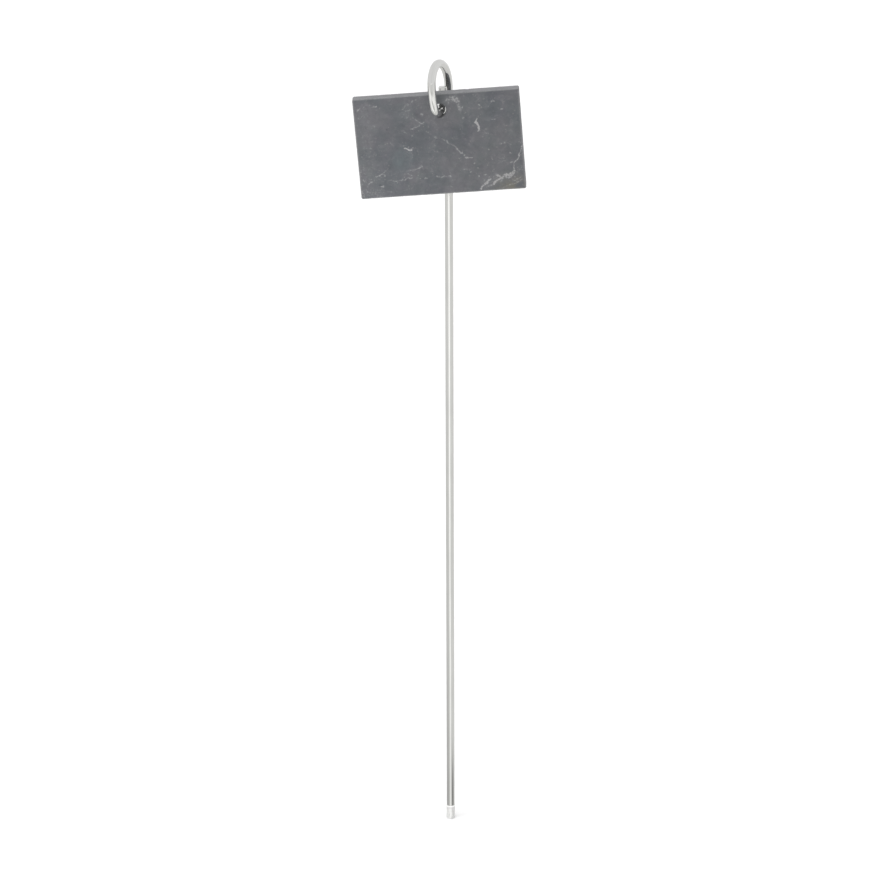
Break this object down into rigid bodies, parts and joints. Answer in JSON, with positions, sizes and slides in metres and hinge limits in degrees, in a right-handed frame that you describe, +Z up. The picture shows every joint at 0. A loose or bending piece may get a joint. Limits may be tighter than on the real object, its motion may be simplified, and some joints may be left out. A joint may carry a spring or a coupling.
{
  "type": "plant label stake",
  "caption": "Plant label stake: polished steel wire with a bent eye at the top, a hanging slate label plate and a thin clear guard on the lower end.",
  "frame": {"origin": "middle of the wire's cut lower end, at the lower end of the stem that goes into the ground", "axes": "+Z up the stem, -Y the way the label plate faces, +X to the right of the plate seen from its face"},
  "size_m": [0.0835, 0.0262, 0.3975],
  "materials": {
    "polished_steel": "polished steel wire with fine draw lines",
    "slate": "riven dark grey slate with pale flecks and veins",
    "clear_plastic": "thin clear plastic, slightly milky"
  },
  "bodies": {
    "wire": {"stake": "polished_steel"},
    "plate": {"slate_tag": "slate"},
    "guard": {"tip_guard": "clear_plastic"}
  },
  "joints": [
    {"name": "tag_sway", "type": "hinge", "parent": "wire", "child": "plate", "pos_m": [-0.00411, -0.01292, 0.37285], "axis": [0, -0.9917, -0.1288], "range_deg": [-54, 54]},
    {"name": "guard_pull", "type": "slide", "parent": "wire", "child": "guard", "axis": [0, 0, -1], "range_m": [0, 0.011]}
  ]
}
